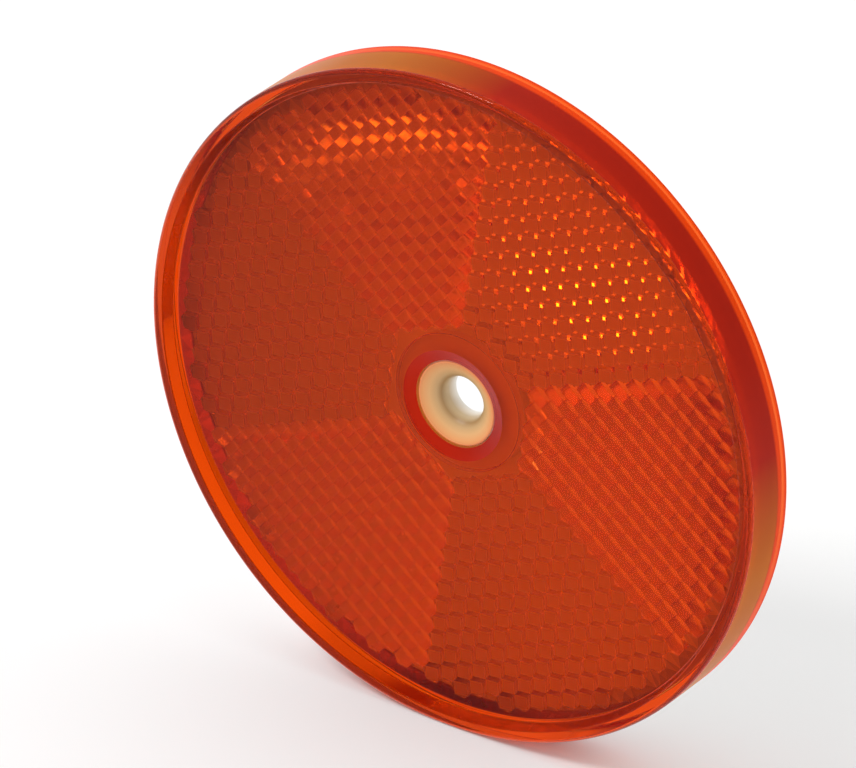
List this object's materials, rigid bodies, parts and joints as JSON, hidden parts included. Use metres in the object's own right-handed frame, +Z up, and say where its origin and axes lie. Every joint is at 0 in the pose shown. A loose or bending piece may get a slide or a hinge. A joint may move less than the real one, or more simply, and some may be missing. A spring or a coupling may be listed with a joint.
{
  "type": "round reflector",
  "caption": "Round amber screw-on reflector: transparent lens with a corner-cube prism field in six sectors, closed by a white back plate with a dished screw boss.",
  "frame": {"origin": "middle of the screw hole's straight wall, on the reflector's axis", "axes": "-Y out of the front face along the screw hole's axis, +Z up, +X to the right when the front is viewed"},
  "size_m": [0.08, 0.0071, 0.08],
  "materials": {
    "amber_lens": "clear amber, polished",
    "white_plate": "moulded, satin"
  },
  "bodies": {
    "root": {"lens": "amber_lens", "back_plate": "white_plate"}
  },
  "joints": []
}
